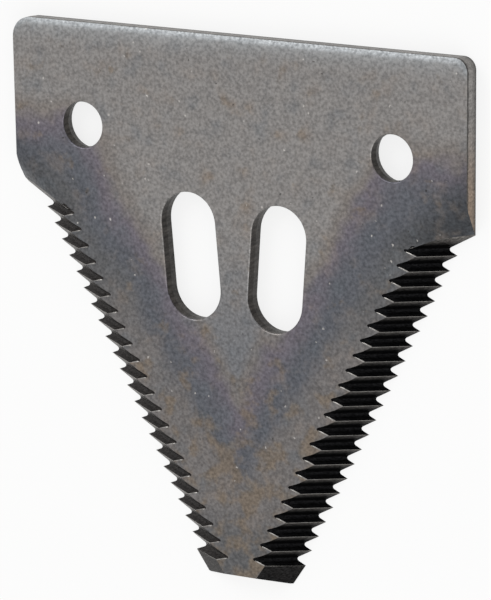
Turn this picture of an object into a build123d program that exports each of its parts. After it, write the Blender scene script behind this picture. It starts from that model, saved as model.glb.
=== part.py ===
from build123d import *
from math import atan, cos, degrees, radians, sin, tan
import os

# A serrated knife section for a mower or combine cutter bar, in millimetres.
# The origin lies midway between the two rivet holes, on the flat back face.
# +Z is the ground front face, +Y the straight edge that backs on to the knife bar.

# Plate
section_width = 76.2
section_thickness = 3.0
back_edge_y = 15.0
lower_corner_x = 37.85
lower_corner_y = -10.4
left_corner_radius = 3.0
right_corner_radius = 2.0

# Sheared walls: straight near the front face, breaking inward below
break_height = 1.6
break_inset = 0.12
edge_roll_width = 1.5
edge_roll_depth = 0.28

# Rivet holes
hole_spacing = 52.0
hole_diameter = 6.74
hole_break_flare = 0.5

# Slots, as punched: the left one lies a little farther out and higher
slot_width = 9.1
slot_length = 18.6
slot_tilt = 4.7
slot_break_flare = 0.25
left_slot_centre = (-7.7, -17.45)
right_slot_centre = (6.8, -18.0)
rim_roll_radius = 0.25

# Serration: round-bottomed V grooves, straight where they reach the back face and
# flattening in steps where they meet the front face
groove_count = 22
groove_pitch = 2.298
groove_angle = 88.0
groove_root_radius = 0.5
groove_slopes = (31.0, 22.0, 13.0)
groove_entry_radius = 6.0
groove_entry_lift = 0.1
right_groove_skew = 1.5
left_groove_skew = 4.5
right_notch_x = 33.6
left_notch_x = 33.4
first_notch_y = -12.75
flank_inset_per_pitch = 1.222

# Nose: a plain bevel each side and a sheared end that leans outward at the back
nose_shoulder = (9.45, -61.85)
nose_corner = (7.28, -64.92)
nose_bevel_run = 5.2
nose_end_lean = 0.9

# Lower head corners: thinned in a rounded slope, measured in a level cut across the blade
run_out_top_y = -3.2
run_out_angle = 40.5
run_out_radius = 10.5
run_out_slope = 28.5

# How far a cutting shape stands clear of the plate
clearance = 1.0


def cut_pierced_shape(make_profile, flare):
    """Pierce a profile straight through, then let its wall break outward to the back face."""
    with BuildSketch(Plane.XY.offset(break_height)) as punched:
        make_profile()
    extrude(punched.sketch, amount=section_thickness, mode=Mode.SUBTRACT)
    with BuildSketch(Plane.XY.offset(break_height)) as broken:
        make_profile()
    extrude(broken.sketch, amount=-break_height, taper=-break_angle(flare), mode=Mode.SUBTRACT)


def break_angle(inset):
    """Slope, in degrees from upright, of a wall that moves by the inset over the break."""
    return degrees(atan(inset / break_height))


def cut_slot(centre, tilt):
    """Cut one round-ended slot, leaning by the tilt from straight up the blade."""

    def slot_profile():
        with Locations(Location((*centre, 0), tilt)):
            SlotOverall(slot_length, slot_width, rotation=90)

    cut_pierced_shape(slot_profile, slot_break_flare)


def cut_hole(centre_x):
    """Cut one round rivet hole."""

    def hole_profile():
        with Locations((centre_x, 0)):
            Circle(hole_diameter / 2)

    cut_pierced_shape(hole_profile, hole_break_flare)


def cut_grooves(cutter, side, first_notch_x, skew):
    """Cut all the grooves of one flank, each set in and down from the last."""
    for number in range(groove_count):
        notch_x = side * (first_notch_x - number * flank_inset_per_pitch)
        notch_y = first_notch_y - number * groove_pitch
        with Locations(Location((notch_x, notch_y, 0), side * skew)):
            add(cutter, mode=Mode.SUBTRACT)


def cut_run_out(side):
    """Round one lower head corner down from the front face, towards the first groove."""
    across = 1 / tan(radians(run_out_angle))
    start_x = section_width / 2 - (run_out_top_y - first_notch_y) * across
    slope = radians(run_out_slope)
    arc_reach = run_out_radius * sin(slope)
    arc_drop = arc_reach * tan(slope / 2)
    line_drop = section_thickness + clearance - arc_drop
    line_reach = line_drop / tan(slope)
    with BuildSketch(Plane.XZ.offset(-first_notch_y)) as corner:
        with BuildLine():
            arc_end = (side * (start_x + arc_reach), section_thickness - arc_drop)
            outer_x = side * (start_x + arc_reach + line_reach)
            TangentArc((side * start_x, section_thickness), arc_end, tangent=(side, 0))
            Polyline(
                arc_end,
                (outer_x, -clearance),
                (outer_x, section_thickness + clearance),
                (side * start_x, section_thickness + clearance),
                (side * start_x, section_thickness),
            )
        make_face()
    along = Vector(side * across, 1, 0)
    extrude(corner.sketch, amount=section_width / 2, dir=along.normalized(), mode=Mode.SUBTRACT)


def cut_nose_bevel(side):
    """Slice one plain bevel off the nose, from its back edge up to the front face."""
    shoulder_x, shoulder_y = nose_shoulder
    corner_x, corner_y = nose_corner
    back_shoulder = Vector(side * shoulder_x, shoulder_y, 0)
    back_corner = Vector(side * corner_x, corner_y, 0)
    front_shoulder = Vector(side * (shoulder_x - nose_bevel_run), shoulder_y, section_thickness)
    along = back_shoulder - back_corner
    outward = along.cross(front_shoulder - back_shoulder) * side
    bevel = Plane(origin=back_shoulder, x_dir=along, z_dir=outward)
    split(bisect_by=bevel, keep=Keep.BOTTOM)


def make_vee(touch_point, along):
    """Make one straight V with a round root, its floor running through the point given."""
    with BuildSketch(Plane(touch_point, x_dir=(0, 1, 0), z_dir=along)) as vee:
        half_angle = radians(groove_angle / 2)
        root_lift = groove_root_radius * (1 / sin(half_angle) - 1)
        mouth_height = 2 * section_thickness
        mouth_half_width = (mouth_height + root_lift) * tan(half_angle)
        with BuildLine():
            Polyline(
                (0, -root_lift),
                (mouth_half_width, mouth_height),
                (-mouth_half_width, mouth_height),
                close=True,
            )
        make_face()
        fillet(vee.vertices().sort_by(Axis.Y)[0], groove_root_radius)
    extrude(vee.sketch, amount=3 * section_thickness, both=True)


# The shape that cuts one right-hand groove. Its floor crosses the back plane at the origin
# of this block, and each of its slopes touches the same entry arc.
steepest = radians(groove_slopes[0])
entry_top = section_thickness + groove_entry_lift
entry_centre_z = entry_top - groove_entry_radius
steepest_touch_z = entry_centre_z + groove_entry_radius * cos(steepest)
steepest_touch_x = -steepest_touch_z / tan(steepest)
entry_centre = Vector(steepest_touch_x - groove_entry_radius * sin(steepest), 0, entry_centre_z)

with BuildPart() as right_groove:
    for groove_slope in groove_slopes:
        slope = radians(groove_slope)
        floor_normal = Vector(sin(slope), 0, cos(slope))
        floor_direction = Vector(cos(slope), 0, -sin(slope))
        make_vee(entry_centre + floor_normal * groove_entry_radius, floor_direction)

left_groove = mirror(right_groove.part, about=Plane.YZ)

with BuildPart() as knife_section:
    with BuildSketch(Plane.XY.offset(break_height)) as outline:
        with BuildLine():
            Polyline(
                (-section_width / 2, back_edge_y),
                (section_width / 2, back_edge_y),
                (lower_corner_x, lower_corner_y),
                nose_shoulder,
                nose_corner,
                (-nose_corner[0], nose_corner[1]),
                (-nose_shoulder[0], nose_shoulder[1]),
                (-lower_corner_x, lower_corner_y),
                close=True,
            )
        make_face()
        for end, radius in ((0, left_corner_radius), (-1, right_corner_radius)):
            back_edge = outline.edges().sort_by(Axis.Y)[-1]
            fillet(back_edge.vertices().sort_by(Axis.X)[end], radius)
    extrude(outline.sketch, amount=section_thickness - break_height)
    extrude(outline.sketch, amount=-break_height, taper=break_angle(break_inset))

    cut_hole(-hole_spacing / 2)
    cut_hole(hole_spacing / 2)
    cut_slot(left_slot_centre, slot_tilt)
    cut_slot(right_slot_centre, -slot_tilt)
    front_face = knife_section.faces().sort_by(Axis.Z)[-1]
    rims = front_face.inner_wires().edges()
    fillet(rims, rim_roll_radius)

    # The sheared edge of the head rolls over towards the front face
    with BuildLine() as head_edge:
        FilletPolyline(
            (-lower_corner_x, lower_corner_y, section_thickness),
            (-section_width / 2, back_edge_y, section_thickness),
            (section_width / 2, back_edge_y, section_thickness),
            (lower_corner_x, lower_corner_y, section_thickness),
            radius=[left_corner_radius, right_corner_radius],
        )
    head_wire = head_edge.wires()[0]
    roll_plane = Plane(origin=head_wire @ 0, x_dir=(-1, 0, 0), z_dir=head_wire % 0)
    with BuildSketch(roll_plane) as roll:
        with BuildLine():
            TangentArc((-edge_roll_width, 0), (0, -edge_roll_depth), tangent=(1, 0))
            Polyline(
                (0, -edge_roll_depth),
                (clearance, -edge_roll_depth),
                (clearance, clearance),
                (-edge_roll_width, clearance),
                (-edge_roll_width, 0),
            )
        make_face()
    sweep(roll.sketch, path=head_wire, mode=Mode.SUBTRACT)

    for side in (1, -1):
        cut_nose_bevel(side)
        cut_run_out(side)
    cut_grooves(right_groove.part, 1, right_notch_x, right_groove_skew)
    cut_grooves(left_groove, -1, left_notch_x, left_groove_skew)

    # The end of the nose leans back from the front face
    end_top = Vector(0, nose_corner[1] + nose_end_lean, section_thickness)
    end_bottom = Vector(0, nose_corner[1], 0)
    end_normal = (end_top - end_bottom).cross(Vector(1, 0, 0))
    nose_end = Plane(origin=end_bottom, x_dir=(1, 0, 0), z_dir=end_normal)
    split(bisect_by=nose_end, keep=Keep.TOP)

os.makedirs("parts", exist_ok=True)
knife_section.part.label = "knife_section"
export_step(knife_section.part, "parts/knife_section.step")
print("volume", round(knife_section.part.volume, 1))
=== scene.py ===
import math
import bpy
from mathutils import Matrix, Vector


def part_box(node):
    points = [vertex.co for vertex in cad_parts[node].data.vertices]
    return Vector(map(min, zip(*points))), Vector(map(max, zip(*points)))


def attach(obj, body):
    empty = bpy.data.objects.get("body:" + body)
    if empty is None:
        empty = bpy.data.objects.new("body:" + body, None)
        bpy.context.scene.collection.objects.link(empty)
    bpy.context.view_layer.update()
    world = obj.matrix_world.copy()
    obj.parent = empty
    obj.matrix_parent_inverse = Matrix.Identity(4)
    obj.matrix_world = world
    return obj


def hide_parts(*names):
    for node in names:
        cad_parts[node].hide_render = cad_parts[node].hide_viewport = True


bl_info = {
    "name": "Serrated knife section",
    "version": (1, 0, 0),
    "blender": (4, 5, 0),
    "location": "View3D > Sidebar > Knife section",
    "description": "Finishes a packed knife section and sets its camera and light",
    "category": "Object",
}

import bmesh
import bpy
from bpy.props import FloatProperty, FloatVectorProperty, PointerProperty
from mathutils import Vector

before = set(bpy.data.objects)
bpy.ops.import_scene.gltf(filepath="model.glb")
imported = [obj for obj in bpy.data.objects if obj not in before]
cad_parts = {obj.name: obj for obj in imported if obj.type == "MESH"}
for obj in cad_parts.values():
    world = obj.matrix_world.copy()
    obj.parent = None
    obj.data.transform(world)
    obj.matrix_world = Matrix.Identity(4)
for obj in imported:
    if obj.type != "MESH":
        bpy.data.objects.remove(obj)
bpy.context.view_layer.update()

MM = 0.001
BLADE = "knife_section"
THICKNESS_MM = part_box(BLADE)[1].z / MM

# The serration's lie, in millimetres: where its first groove reaches the back face, how far
# the flank leans in for each millimetre down, and the slope of the groove floors
FIRST_NOTCH = (33.5, -12.75)
FLANK_LEAN = 0.532
FLOOR_SLOPE = 0.6


def linear(hex_colour):
    """Turn an sRGB hex colour into linear red, green, blue and alpha."""
    channels = [int(hex_colour[i : i + 2], 16) / 255 for i in (1, 3, 5)]
    return tuple(c / 12.92 if c <= 0.04045 else ((c + 0.055) / 1.055) ** 2.4 for c in channels) + (1.0,)


def colour(name, hex_colour, description):
    """A colour that a user may change."""
    return FloatVectorProperty(
        name=name, description=description, subtype="COLOR", size=4, min=0, max=1, default=linear(hex_colour)
    )


def add(tree, kind, links=None, **settings):
    """Add one node, give it its settings and values, and link its inputs."""
    node = tree.nodes.new(kind)
    for name, value in settings.items():
        setattr(node, name, value)
    for socket, source in (links or {}).items():
        if isinstance(source, bpy.types.NodeSocket):
            tree.links.new(source, node.inputs[socket])
        else:
            node.inputs[socket].default_value = source
    return node


class KnifeFinishSettings(bpy.types.PropertyGroup):
    """Colours of the blade."""

    bare_steel: colour("Bare steel", "#908d8b", "Satin face of the head, away from the heat")
    lower_steel: colour("Lower steel", "#7c7d80", "Satin face below the slots")
    brown_temper: colour("Brown temper", "#807872", "Outer rim of the heat tint")
    violet_temper: colour("Violet temper", "#736e77", "First colour inside the heat tint")
    blue_temper: colour("Blue temper", "#64676d", "Middle of the heat tint")
    hot_steel: colour("Hot steel", "#686869", "Hottest part of the heat tint, next to the teeth")
    hot_lower_steel: colour("Hot lower steel", "#7d7977", "The same, along the lower teeth")
    # A darker tone laid on the thinned lower corners of the head
    corner_dark_tone: colour("Corner oxide", "#434548", "Dark oxide on the thinned corners of the head")
    straw_temper: colour("Straw temper", "#837565", "Straw blooms low on the blade")
    warm_cloud: colour("Warm cloud", "#8f8379", "Warm clouds over the face")
    cool_cloud: colour("Cool cloud", "#6b7177", "Cool clouds over the face")
    # Rubbed wear with a painted highlight along the rolled back edge of the head
    rolled_edge_rub_and_sheen: colour("Rolled edge", "#a2a6a9", "Rubbed band along the rolled back edge")
    nick: colour("Nick", "#cfcbc6", "Bright nicks")
    pit: colour("Pit", "#3a3836", "Dark pits")
    sheared_wall: colour("Sheared wall", "#8b8885", "Lighter middle of the outer cut walls")
    sheared_rim: colour("Sheared rim", "#42403e", "Dark lines along both edges of the cut walls")
    wall_film: colour("Wall film", "#8e7c6b", "Brown film low on the outer walls")
    pierced_wall: colour("Pierced wall", "#3b3835", "Walls of the holes and slots")
    # The groove colours are dark oxide, with painted shade making the right flank darker than the left
    right_groove_shaded_oxide: colour("Right groove", "#141415", "Oxide on the right flank's serration")
    left_groove_lit_oxide: colour("Left groove", "#2e2b2a", "Thinner oxide on the left flank's serration")
    # Painted light: grey on the groove walls that face the tip, as if lit by the floor
    groove_wall_light: colour("Worn groove", "#6a6764", "Groove walls worn grey beside the ridges")


class KnifeWearSettings(bpy.types.PropertyGroup):
    """Colour and sizes of the burr and ridge lines of the serration, pale as rubbed wear with a painted highlight.
    """

    # Burr and ridge colour: rubbed wear with a painted highlight
    rub_and_sheen: colour("Rubbed edge", "#a9a6a2", "Burrs and ridges rubbed bright")
    burr_width: FloatProperty(
        name="Burr width",
        description="Width of the turned-over burr under each groove",
        default=0.26 * MM,
        min=0,
        unit="LENGTH",
        precision=6,
    )
    ridge_share: FloatProperty(
        name="Ridge share",
        description="Width of the rubbed ridges as a share of the burr width",
        default=0.32,
        min=0,
        max=1,
        subtype="FACTOR",
    )


class KnifeStageSettings(bpy.types.PropertyGroup):
    """Camera, floor and light."""

    camera_place: FloatVectorProperty(
        name="Camera place",
        description="Where the camera stands",
        size=3,
        subtype="TRANSLATION",
        unit="LENGTH",
        default=(0.40086, 0.14497, 0.62804),
    )
    camera_turn: FloatVectorProperty(
        name="Camera turn",
        description="Tilt, swing and roll of the camera",
        size=3,
        subtype="EULER",
        default=(-0.2226, 0.5685, -0.0139),
    )
    lens: FloatProperty(name="Lens", description="Focal length in millimetres", default=319.84, min=1)
    floor_size: FloatProperty(
        name="Floor size", description="Side of the square floor", default=6.0, min=1, unit="LENGTH"
    )
    floor_colour: colour("Floor", "#f8f8f7", "Matt pale floor")
    key_power: FloatProperty(name="Key power", description="Power of the key light in watts", default=3.0, min=0)
    fill_power: FloatProperty(name="Fill power", description="Power of the fill light in watts", default=2.5, min=0)


def start_metal(name, **values):
    """Make a metal material, with its object coordinates in millimetres and its shader."""
    material = bpy.data.materials.new(name)
    material.use_nodes = True
    tree = material.node_tree
    tree.nodes.clear()
    place = add(tree, "ShaderNodeTexCoord").outputs["Object"]
    mm = add(tree, "ShaderNodeVectorMath", {0: place, "Scale": 1 / MM}, operation="SCALE").outputs[0]
    shader = add(tree, "ShaderNodeBsdfPrincipled", {"Metallic": 1.0, **values})
    add(tree, "ShaderNodeOutputMaterial", {"Surface": shader.outputs[0]})
    return material, tree, mm, shader


def finish_metal(tree, mm, shader, base, grit, grit_contrast, roughness, bump_mm):
    """Give a base colour its fine grit, and drive roughness and relief from the same grit."""
    noise = add(tree, "ShaderNodeTexNoise", {"Vector": mm, "Scale": 1 / grit, "Detail": 3.0})
    shade = add(
        tree,
        "ShaderNodeMapRange",
        {"Value": noise.outputs[0], "From Min": 0.3, "From Max": 0.7,
         "To Min": 1 - grit_contrast, "To Max": 1 + grit_contrast},
    )
    shaded = add(tree, "ShaderNodeVectorMath", {0: base, "Scale": shade.outputs[0]}, operation="SCALE")
    rough = add(
        tree,
        "ShaderNodeMapRange",
        {"Value": noise.outputs[0], "From Min": 0.3, "From Max": 0.7,
         "To Min": roughness + 0.08, "To Max": roughness - 0.08},
    )
    relief = add(
        tree, "ShaderNodeBump", {"Height": noise.outputs[0], "Strength": 0.6, "Distance": bump_mm * MM}
    )
    tree.links.new(shaded.outputs[0], shader.inputs["Base Color"])
    tree.links.new(rough.outputs[0], shader.inputs["Roughness"])
    tree.links.new(relief.outputs[0], shader.inputs["Normal"])


def tone_over(tree, base, steps):
    """Lay tones over a base colour, each coming in as its value goes from start to end."""
    for value, start, end, strength, tone in steps:
        share = add(
            tree,
            "ShaderNodeMapRange",
            {"Value": value, "From Min": start, "From Max": end, "To Max": strength},
            interpolation_type="SMOOTHSTEP",
        ).outputs[0]
        base = add(tree, "ShaderNodeMix", {0: share, 6: base, 7: tone}, data_type="RGBA").outputs[2]
    return base


def heat_level(tree, mm, half_x, height):
    """Say how far inside the heated flanks a point lies, in millimetres, with a cloudy edge."""
    folded = add(tree, "ShaderNodeCombineXYZ", {0: half_x, 1: height}).outputs[0]
    flank = add(
        tree, "ShaderNodeVectorMath", {0: folded, 1: (0.883, -0.59, 0)}, operation="DOT_PRODUCT"
    ).outputs["Value"]
    inside_flank = add(tree, "ShaderNodeMath", {0: flank, 1: -22.6}, operation="ADD").outputs[0]
    below_holes = add(
        tree, "ShaderNodeMath", {0: height, 1: -0.8, 2: 0.9}, operation="MULTIPLY_ADD"
    ).outputs[0]
    heat = add(
        tree, "ShaderNodeMath", {0: inside_flank, 1: below_holes, 2: 3.0}, operation="SMOOTH_MIN"
    ).outputs[0]
    drift = add(tree, "ShaderNodeTexNoise", {"Vector": mm, "Scale": 0.13, "Detail": 3.0}).outputs[0]
    return add(tree, "ShaderNodeMath", {0: drift, 1: 8.0, 2: heat}, operation="MULTIPLY_ADD").outputs[0]


def make_ground_face(finish):
    """Hardened spring steel, ground and then heat-treated.

    The eye sees a satin grey with a cloudy heat tint, a sandy grit, a few bright nicks and
    dark pits, and a paler band where the back edge of the head rolls over, partly rubbed and partly a painted
    highlight.
    """
    material, tree, mm, shader = start_metal("ground_hardened_steel")
    axes = add(tree, "ShaderNodeSeparateXYZ", {0: mm})
    across, height, depth = axes.outputs
    half_x = add(tree, "ShaderNodeMath", {0: across}, operation="ABSOLUTE").outputs[0]
    level = heat_level(tree, mm, half_x, height)

    bare = tone_over(tree, finish.bare_steel, ((height, -10, -34, 1.0, finish.lower_steel),))
    hot = tone_over(
        tree,
        finish.hot_steel,
        ((height, -18, -32, 1.0, finish.hot_lower_steel), (height, -52, -60, 0.9, finish.hot_steel)),
    )
    tinted = tone_over(
        tree,
        bare,
        (
            (level, 1.0, 3.5, 0.6, finish.brown_temper),
            (level, 3.0, 5.5, 0.9, finish.violet_temper),
            (level, 5.0, 9.0, 0.9, finish.blue_temper),
            (level, 9.5, 14.0, 0.9, hot),
        ),
    )

    # The thinned lower corners of the head are made darker, the right one most
    corner = add(tree, "ShaderNodeMath", {0: half_x, 1: height}, operation="SUBTRACT").outputs[0]
    right_corner = add(tree, "ShaderNodeMath", {0: across, 1: height}, operation="SUBTRACT").outputs[0]
    below_head = add(tree, "ShaderNodeMapRange", {"Value": height, "From Min": -15, "From Max": -11})
    held = []
    for value, start, end, strength in ((corner, 34, 45, 0.55), (right_corner, 34, 45, 0.75)):
        near = add(
            tree,
            "ShaderNodeMapRange",
            {"Value": value, "From Min": start, "From Max": end, "To Max": strength},
        ).outputs[0]
        held.append(
            add(tree, "ShaderNodeMath", {0: near, 1: below_head.outputs[0]}, operation="MULTIPLY").outputs[0]
        )
    darkened = tone_over(tree, tinted, [(share, 0, 1, 1.0, finish.corner_dark_tone) for share in held])

    # Straw blooms a few millimetres across, low on the blade
    bloom = add(tree, "ShaderNodeTexNoise", {"Vector": mm, "Scale": 0.3, "Detail": 4.0}).outputs[0]
    low = add(
        tree, "ShaderNodeMapRange", {"Value": height, "From Min": -24, "From Max": -46, "To Max": 0.16}
    ).outputs[0]
    straw = add(tree, "ShaderNodeMath", {0: bloom, 1: low}, operation="ADD").outputs[0]
    bloomed = tone_over(tree, darkened, ((straw, 0.6, 0.78, 0.7, finish.straw_temper),))

    # Cool and warm clouds over the whole face, two to eight millimetres across
    clouds = add(tree, "ShaderNodeTexNoise", {"Vector": mm, "Scale": 0.28, "Detail": 5.0})
    clouded = tone_over(
        tree,
        bloomed,
        (
            (clouds.outputs[0], 0.52, 0.75, 0.35, finish.warm_cloud),
            (clouds.outputs[0], 0.48, 0.25, 0.4, finish.cool_cloud),
        ),
    )

    # The rolled back edge of the head, paler the further it falls: rubbed wear, and a painted highlight on the
    # tilting roll
    drop = add(tree, "ShaderNodeMath", {0: THICKNESS_MM, 1: depth}, operation="SUBTRACT").outputs[0]
    fallen = add(tree, "ShaderNodeMapRange", {"Value": drop, "From Min": 0.0, "From Max": 0.16}).outputs[0]
    at_back = add(tree, "ShaderNodeMapRange", {"Value": height, "From Min": 12, "From Max": 14}).outputs[0]
    roll_rub_and_sheen_share = add(tree, "ShaderNodeMath", {0: fallen, 1: at_back}, operation="MULTIPLY").outputs[0]
    rolled = tone_over(
        tree, clouded, ((height, 11, 14.5, 0.45, finish.rolled_edge_rub_and_sheen), (roll_rub_and_sheen_share, 0, 1, 0.7, finish.rolled_edge_rub_and_sheen))
    )

    # Nicks and pits: specks one or two tenths of a millimetre across, in a few cells of a net
    ragged = add(tree, "ShaderNodeTexNoise", {"Vector": mm, "Scale": 3.0, "Detail": 2.0}).outputs[1]
    shaken = add(
        tree, "ShaderNodeVectorMath", {0: ragged, 1: (0.5, 0.5, 0.5), 2: mm}, operation="MULTIPLY_ADD"
    ).outputs[0]
    marked = rolled
    for offset, cell, keep, size, tone in (
        ((0, 0, 0), 1.1, 0.8, 0.17, finish.nick),
        ((31, 17, 5), 1.5, 0.78, 0.13, finish.pit),
    ):
        moved = add(tree, "ShaderNodeVectorMath", {0: shaken, 1: offset}, operation="ADD").outputs[0]
        cells = add(tree, "ShaderNodeTexVoronoi", {"Vector": moved, "Scale": 1 / cell})
        kept = add(
            tree, "ShaderNodeMath", {0: cells.outputs["Color"], 1: keep}, operation="GREATER_THAN"
        ).outputs[0]
        near = add(
            tree,
            "ShaderNodeMapRange",
            {"Value": cells.outputs["Distance"], "From Min": size, "From Max": size * 0.5},
        ).outputs[0]
        speck = add(tree, "ShaderNodeMath", {0: near, 1: kept}, operation="MULTIPLY").outputs[0]
        marked = tone_over(tree, marked, ((speck, 0, 1, 0.75, tone),))

    finish_metal(tree, mm, shader, marked, grit=0.45, grit_contrast=0.3, roughness=0.42, bump_mm=0.03)
    return material


def make_sheared_wall(finish):
    """Spring steel, sheared in a press.

    The eye sees a pale middle strip between two dark lines, streaks from front to back, and a
    brown film low down.
    """
    material, tree, mm, shader = start_metal("sheared_steel_wall")
    axes = add(tree, "ShaderNodeSeparateXYZ", {0: mm})
    height, depth = axes.outputs[1], axes.outputs[2]
    ragged = add(tree, "ShaderNodeTexNoise", {"Vector": mm, "Scale": 0.6, "Detail": 3.0}).outputs[0]
    edge = add(tree, "ShaderNodeMath", {0: ragged, 1: 0.7, 2: depth}, operation="MULTIPLY_ADD").outputs[0]
    filmed = tone_over(
        tree,
        finish.sheared_wall,
        (
            (height, 8, -6, 0.9, finish.wall_film),
            (edge, 1.9, 1.0, 0.35, finish.sheared_rim),
            (edge, 0.95, 0.6, 0.75, finish.sheared_rim),
            (edge, 2.5, 2.8, 0.9, finish.sheared_rim),
        ),
    )
    long_streaks = add(tree, "ShaderNodeVectorMath", {0: mm, 1: (1, 1, 0.15)}, operation="MULTIPLY")
    streaks = add(
        tree, "ShaderNodeTexNoise", {"Vector": long_streaks.outputs[0], "Scale": 1 / 0.5, "Detail": 3.0}
    ).outputs[0]
    shade = add(
        tree,
        "ShaderNodeMapRange",
        {"Value": streaks, "From Min": 0.3, "From Max": 0.7, "To Min": 0.75, "To Max": 1.2},
    ).outputs[0]
    streaked = add(tree, "ShaderNodeVectorMath", {0: filmed, "Scale": shade}, operation="SCALE").outputs[0]
    finish_metal(tree, mm, shader, streaked, grit=0.3, grit_contrast=0.25, roughness=0.5, bump_mm=0.02)
    return material


def make_pierced_wall(finish):
    """Spring steel, pierced in a press.

    The eye sees a dark wall with lighter streaks from front to back.
    """
    material, tree, mm, shader = start_metal("pierced_steel_wall")
    long_streaks = add(tree, "ShaderNodeVectorMath", {0: mm, 1: (1, 1, 0.12)}, operation="MULTIPLY")
    streaks = add(
        tree, "ShaderNodeTexNoise", {"Vector": long_streaks.outputs[0], "Scale": 1 / 0.45, "Detail": 3.0}
    ).outputs[0]
    shade = add(
        tree,
        "ShaderNodeMapRange",
        {"Value": streaks, "From Min": 0.35, "From Max": 0.7, "To Min": 0.5, "To Max": 1.6},
    ).outputs[0]
    streaked = add(
        tree, "ShaderNodeVectorMath", {0: finish.pierced_wall[:3], "Scale": shade}, operation="SCALE"
    ).outputs[0]
    finish_metal(tree, mm, shader, streaked, grit=0.25, grit_contrast=0.15, roughness=0.5, bump_mm=0.02)
    return material


def make_groove(finish):
    """Spring steel, serrated and then hardened, with its oxide left on.

    The eye sees near-black walls with fine lines along each groove, and painted light in grey on the side of
    each ridge that faces the tip. The right flank's oxide is painted darker than the left's, as painted shade.
    """
    material, tree, mm, shader = start_metal("oxidised_serration")
    axes = add(tree, "ShaderNodeSeparateXYZ", {0: mm})
    half_x = add(tree, "ShaderNodeMath", {0: axes.outputs[0]}, operation="ABSOLUTE").outputs[0]

    # Height above the plane that all the groove floors of a flank lie in
    folded = add(tree, "ShaderNodeCombineXYZ", {0: half_x, 1: axes.outputs[1], 2: axes.outputs[2]})
    height = add(
        tree,
        "ShaderNodeVectorMath",
        {0: folded.outputs[0], 1: (FLOOR_SLOPE, -FLOOR_SLOPE * FLANK_LEAN, 1)},
        operation="DOT_PRODUCT",
    ).outputs["Value"]
    floor_level = FLOOR_SLOPE * (FIRST_NOTCH[0] - FLANK_LEAN * FIRST_NOTCH[1])
    rise = add(
        tree,
        "ShaderNodeMapRange",
        {"Value": height, "From Min": floor_level + 0.45, "From Max": floor_level + 1.45},
    ).outputs[0]
    facing = add(tree, "ShaderNodeSeparateXYZ", {0: add(tree, "ShaderNodeNewGeometry").outputs["Normal"]})
    toward_tip = add(
        tree, "ShaderNodeMapRange", {"Value": facing.outputs[1], "From Min": -0.3, "From Max": -0.6}
    ).outputs[0]
    on_left = add(
        tree, "ShaderNodeMapRange", {"Value": axes.outputs[0], "From Min": 1.0, "From Max": -1.0}
    ).outputs[0]

    # How far in from the back edge a point lies: on the left flank the painted light lies nearest its teeth
    inward = add(
        tree,
        "ShaderNodeVectorMath",
        {0: folded.outputs[0], 1: (-1, FLANK_LEAN, 0)},
        operation="DOT_PRODUCT",
    ).outputs["Value"]
    edge_level = FLANK_LEAN * FIRST_NOTCH[1] - FIRST_NOTCH[0]
    by_teeth = add(
        tree,
        "ShaderNodeMapRange",
        {"Value": inward, "From Min": edge_level + 3.2, "From Max": edge_level + 1.4},
    ).outputs[0]
    # Painted light on the groove walls that face the tip: high on the walls on the right flank, nearest the teeth
    # on the left
    side_light_share = add(tree, "ShaderNodeMix", {0: on_left, 2: rise, 3: by_teeth}).outputs[0]
    wear_and_sheen = add(tree, "ShaderNodeMath", {0: side_light_share, 1: toward_tip}, operation="MULTIPLY").outputs[0]

    # Dark oxide on each flank, with painted shade making the right flank darker than the left
    flank_oxide_and_shade = add(
        tree,
        "ShaderNodeMix",
        {0: on_left, 6: finish.right_groove_shaded_oxide, 7: finish.left_groove_lit_oxide},
        data_type="RGBA",
    ).outputs[2]
    rub_and_sheen = add(
        tree, "ShaderNodeMix", {0: wear_and_sheen, 6: flank_oxide_and_shade, 7: finish.groove_wall_light}, data_type="RGBA"
    ).outputs[2]

    along_groove = add(tree, "ShaderNodeVectorMath", {0: mm, 1: (0.15, 1, 1)}, operation="MULTIPLY")
    lines = add(
        tree, "ShaderNodeTexNoise", {"Vector": along_groove.outputs[0], "Scale": 1 / 0.2, "Detail": 3.0}
    ).outputs[0]
    shade = add(
        tree,
        "ShaderNodeMapRange",
        {"Value": lines, "From Min": 0.35, "From Max": 0.65, "To Min": 0.45, "To Max": 1.55},
    ).outputs[0]
    lined = add(tree, "ShaderNodeVectorMath", {0: rub_and_sheen, "Scale": shade}, operation="SCALE").outputs[0]
    finish_metal(tree, mm, shader, lined, grit=0.2, grit_contrast=0.2, roughness=0.5, bump_mm=0.02)
    return material


def make_rub_and_sheen_edge(wear):
    """Spring steel, rubbed bright where burrs and ridges stand proud, and given a painted highlight.

    The eye sees thin pale lines that break up here and there.
    """
    material, tree, mm, shader = start_metal("rubbed_and_highlit_steel_edge")
    patches = add(tree, "ShaderNodeTexNoise", {"Vector": mm, "Scale": 1 / 0.8, "Detail": 3.0}).outputs[0]
    shade = add(
        tree,
        "ShaderNodeMapRange",
        {"Value": patches, "From Min": 0.3, "From Max": 0.65, "To Min": 0.55, "To Max": 1.15},
    ).outputs[0]
    wear_and_sheen = add(
        tree, "ShaderNodeVectorMath", {0: wear.rub_and_sheen[:3], "Scale": shade}, operation="SCALE"
    ).outputs[0]
    finish_metal(tree, mm, shader, wear_and_sheen, grit=0.2, grit_contrast=0.1, roughness=0.35, bump_mm=0.01)
    return material


FACE, SHEARED, PIERCED, GROOVE = range(4)


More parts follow.
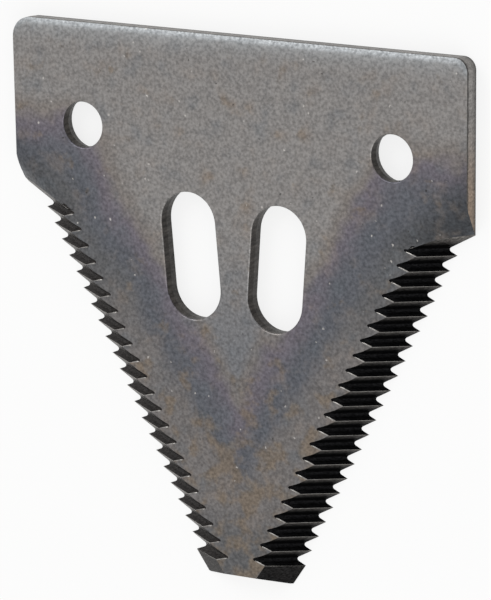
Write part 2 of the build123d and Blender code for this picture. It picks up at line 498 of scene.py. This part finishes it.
def zone_of(normal, centre):
    """Say which finish a face of the blade has, from the way it faces and where it lies."""
    x, y, z = centre / MM
    if normal.z < -0.9:
        return FACE
    if normal.z < 0.3:
        near_hole = Vector((abs(x) - 26.0, y)).length < 5.0
        near_slot = abs(x) < 16.0 and -30.0 < y < -6.0
        return PIERCED if near_hole or near_slot else SHEARED
    first_axis = -12.75 + (33.5 - abs(x)) * (0.026 if x > 0 else 0.079)
    on_groove_wall = abs(normal.y) > 0.66 and abs(x) > 26.0 and y < -9.0
    below_first_axis = y < first_axis + 0.4 and not (abs(x) < 16.0 and y > -30.0)
    if normal.z < 0.976 and (on_groove_wall or below_first_axis):
        return GROOVE
    return FACE


def lines_of(edges):
    """Join edges that meet end to end into lines of points, each running outward from the middle."""
    waiting = set(edges)
    lines = []
    while waiting:
        line = set()
        growing = {waiting.pop()}
        while growing:
            edge = growing.pop()
            line.update(edge.verts)
            touching = {other for vert in edge.verts for other in vert.link_edges if other in waiting}
            waiting -= touching
            growing |= touching
        lines.append([vert.co.copy() for vert in sorted(line, key=lambda vert: abs(vert.co.x))])
    return lines


def find_worn_lines(mesh):
    """Find the lower lip of each groove on the front face, and the ridge between each two grooves."""
    shape = bmesh.new()
    shape.from_mesh(mesh)
    bmesh.ops.remove_doubles(shape, verts=shape.verts, dist=0.002 * MM)
    shape.normal_update()
    lips, ridges = [], []
    for edge in shape.edges:
        if not edge.is_manifold or edge.calc_face_angle() < math.radians(30):
            continue
        zones = [zone_of(face.normal, face.calc_center_median()) for face in edge.link_faces]
        if zones == [GROOVE, GROOVE]:
            if edge.is_convex:
                ridges.append(edge)
        elif GROOVE in zones and FACE in zones:
            groove_side = edge.link_faces[zones.index(GROOVE)]
            face_side = edge.link_faces[zones.index(FACE)]
            if groove_side.normal.y > 0.3 and face_side.normal.z > 0.99:
                lips.append(edge)
    found = lines_of(lips), lines_of(ridges)
    shape.free()
    return found


def draw_worn_lines(name, lines, radius, sink):
    """Lay a thin round bead along each line, tapering away at both ends."""
    bead = bpy.data.curves.new(name, "CURVE")
    bead.dimensions = "3D"
    bead.bevel_depth = radius
    bead.bevel_resolution = 2
    for line in lines:
        spline = bead.splines.new("POLY")
        spline.points.add(len(line) - 1)
        for number, (point, place) in enumerate(zip(spline.points, line)):
            along = number / (len(line) - 1)
            point.co = (*(place + sink), 1)
            point.radius = 0.3 + 0.7 * math.sin(math.pi * min(1, 0.12 + along * 0.8))
    return bead


class KNIFE_OT_blade(bpy.types.Operator):
    """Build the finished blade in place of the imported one"""

    bl_idname = "knife.blade"
    bl_label = "Finish the blade"

    def execute(self, context):
        finish = context.scene.knife_finish
        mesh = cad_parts[BLADE].data.copy()
        mesh.materials.clear()
        for make in (make_ground_face, make_sheared_wall, make_pierced_wall, make_groove):
            mesh.materials.append(make(finish))
        for face in mesh.polygons:
            face.material_index = zone_of(face.normal, face.center)
        blade = bpy.data.objects.new("finished_blade", mesh)
        context.scene.collection.objects.link(blade)
        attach(blade, "root")
        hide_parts(BLADE)
        return {"FINISHED"}


class KNIFE_OT_wear(bpy.types.Operator):
    """Lay the burrs under the grooves and the ridges between them, pale as rubbed wear with a painted highlight"""

    bl_idname = "knife.wear"
    bl_label = "Rub the serration bright"

    def execute(self, context):
        wear = context.scene.knife_wear
        rub_and_sheen = make_rub_and_sheen_edge(wear)
        lips, ridges = find_worn_lines(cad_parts[BLADE].data)
        if not lips or not ridges:
            self.report({"ERROR"}, "the packed blade has no grooves to rub")
            raise RuntimeError("the packed blade has no grooves to rub")
        burr = wear.burr_width / 2
        ridge = burr * wear.ridge_share
        for name, lines, radius in (("groove_burrs", lips, burr), ("groove_ridges", ridges, ridge)):
            bead = draw_worn_lines(name, lines, radius, Vector((0, 0, -0.6 * radius)))
            bead.materials.append(rub_and_sheen)
            piece = bpy.data.objects.new(name, bead)
            context.scene.collection.objects.link(piece)
            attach(piece, "root")
        return {"FINISHED"}


def make_floor_paint(stage):
    """Matt white paper. The eye sees plain white that still takes a soft shadow."""
    material = bpy.data.materials.new("white_paper_floor")
    material.use_nodes = True
    tree = material.node_tree
    tree.nodes.clear()
    paper = add(tree, "ShaderNodeBsdfDiffuse", {"Color": stage.floor_colour})
    white = add(tree, "ShaderNodeEmission", {"Strength": 1.0})
    rays = add(tree, "ShaderNodeLightPath")
    seen = add(
        tree,
        "ShaderNodeMath",
        {0: rays.outputs["Is Camera Ray"], 1: rays.outputs["Is Glossy Ray"]},
        operation="MAXIMUM",
    ).outputs[0]
    share = add(tree, "ShaderNodeMath", {0: seen, 1: 0.8}, operation="MULTIPLY").outputs[0]
    mixed = add(tree, "ShaderNodeMixShader", {0: share, 1: paper.outputs[0], 2: white.outputs[0]})
    add(tree, "ShaderNodeOutputMaterial", {"Surface": mixed.outputs[0]})
    return material


def make_sky():
    """White to the eye and in the metal, and softer as a light on matt surfaces."""
    world = bpy.data.worlds.new("studio")
    world.use_nodes = True
    tree = world.node_tree
    tree.nodes.clear()
    rays = add(tree, "ShaderNodeLightPath")
    shown = add(
        tree,
        "ShaderNodeMath",
        {0: rays.outputs["Is Camera Ray"], 1: rays.outputs["Is Glossy Ray"]},
        operation="MAXIMUM",
    ).outputs[0]
    seen = add(
        tree,
        "ShaderNodeMath",
        {0: shown, 1: rays.outputs["Is Transmission Ray"]},
        operation="MAXIMUM",
    ).outputs[0]
    strength = add(tree, "ShaderNodeMapRange", {"Value": seen, "To Min": 0.82, "To Max": 1.0}).outputs[0]
    light = add(tree, "ShaderNodeBackground", {"Strength": strength})
    add(tree, "ShaderNodeOutputWorld", {"Surface": light.outputs[0]})
    return world


def add_area_light(scene, name, place, size, power):
    """Hang one square soft light, aimed at the blade."""
    light = bpy.data.lights.new(name, "AREA")
    light.size = size
    light.energy = power
    lamp = bpy.data.objects.new(name, light)
    lamp.location = place
    lamp.rotation_euler = (-Vector(place)).to_track_quat("-Z", "Y").to_euler()
    scene.collection.objects.link(lamp)


class KNIFE_OT_stage(bpy.types.Operator):
    """Lay the floor, hang the lights and place the camera"""

    bl_idname = "knife.stage"
    bl_label = "Set the stage"

    def execute(self, context):
        scene = context.scene
        stage = scene.knife_stage
        half = stage.floor_size / 2
        sheet = bpy.data.meshes.new("floor")
        sheet.from_pydata(
            [(-half, -half, 0), (half, -half, 0), (half, half, 0), (-half, half, 0)], [], [(0, 1, 2, 3)]
        )
        sheet.materials.append(make_floor_paint(stage))
        floor = bpy.data.objects.new("floor", sheet)
        floor.location.z = -0.02 * MM
        scene.collection.objects.link(floor)

        add_area_light(scene, "key", (-0.45, 0.62, 0.64), 0.6, stage.key_power)
        add_area_light(scene, "fill", (0.7, -0.5, 0.7), 0.8, stage.fill_power)
        scene.world = make_sky()

        lens = bpy.data.cameras.new("camera")
        lens.sensor_width = 36
        lens.lens = stage.lens
        lens.clip_start = 0.01
        lens.clip_end = 20
        camera = bpy.data.objects.new("camera", lens)
        camera.location = stage.camera_place
        camera.rotation_mode = "ZXY"
        camera.rotation_euler = stage.camera_turn
        scene.collection.objects.link(camera)
        scene.camera = camera
        scene.view_settings.view_transform = "Standard"
        return {"FINISHED"}


class KNIFE_PT_panel(bpy.types.Panel):
    """Lists the steps and settings of the knife section"""

    bl_label = "Knife section"
    bl_idname = "KNIFE_PT_panel"
    bl_space_type = "VIEW_3D"
    bl_region_type = "UI"
    bl_category = "Knife section"

    def draw(self, context):
        for step, settings in (
            (KNIFE_OT_blade, context.scene.knife_finish),
            (KNIFE_OT_wear, context.scene.knife_wear),
            (KNIFE_OT_stage, context.scene.knife_stage),
        ):
            box = self.layout.box()
            box.operator(step.bl_idname)
            for name in settings.__annotations__:
                box.prop(settings, name)


CLASSES = (
    KnifeFinishSettings,
    KnifeWearSettings,
    KnifeStageSettings,
    KNIFE_OT_blade,
    KNIFE_OT_wear,
    KNIFE_OT_stage,
    KNIFE_PT_panel,
)


def register():
    for cls in CLASSES:
        bpy.utils.register_class(cls)
    bpy.types.Scene.knife_finish = PointerProperty(type=KnifeFinishSettings)
    bpy.types.Scene.knife_wear = PointerProperty(type=KnifeWearSettings)
    bpy.types.Scene.knife_stage = PointerProperty(type=KnifeStageSettings)


def unregister():
    del bpy.types.Scene.knife_stage
    del bpy.types.Scene.knife_wear
    del bpy.types.Scene.knife_finish
    for cls in reversed(CLASSES):
        bpy.utils.unregister_class(cls)


def main():
    register()
    bpy.ops.knife.blade()
    bpy.ops.knife.wear()
    bpy.ops.knife.stage()


if __name__ == "__main__":
    main()
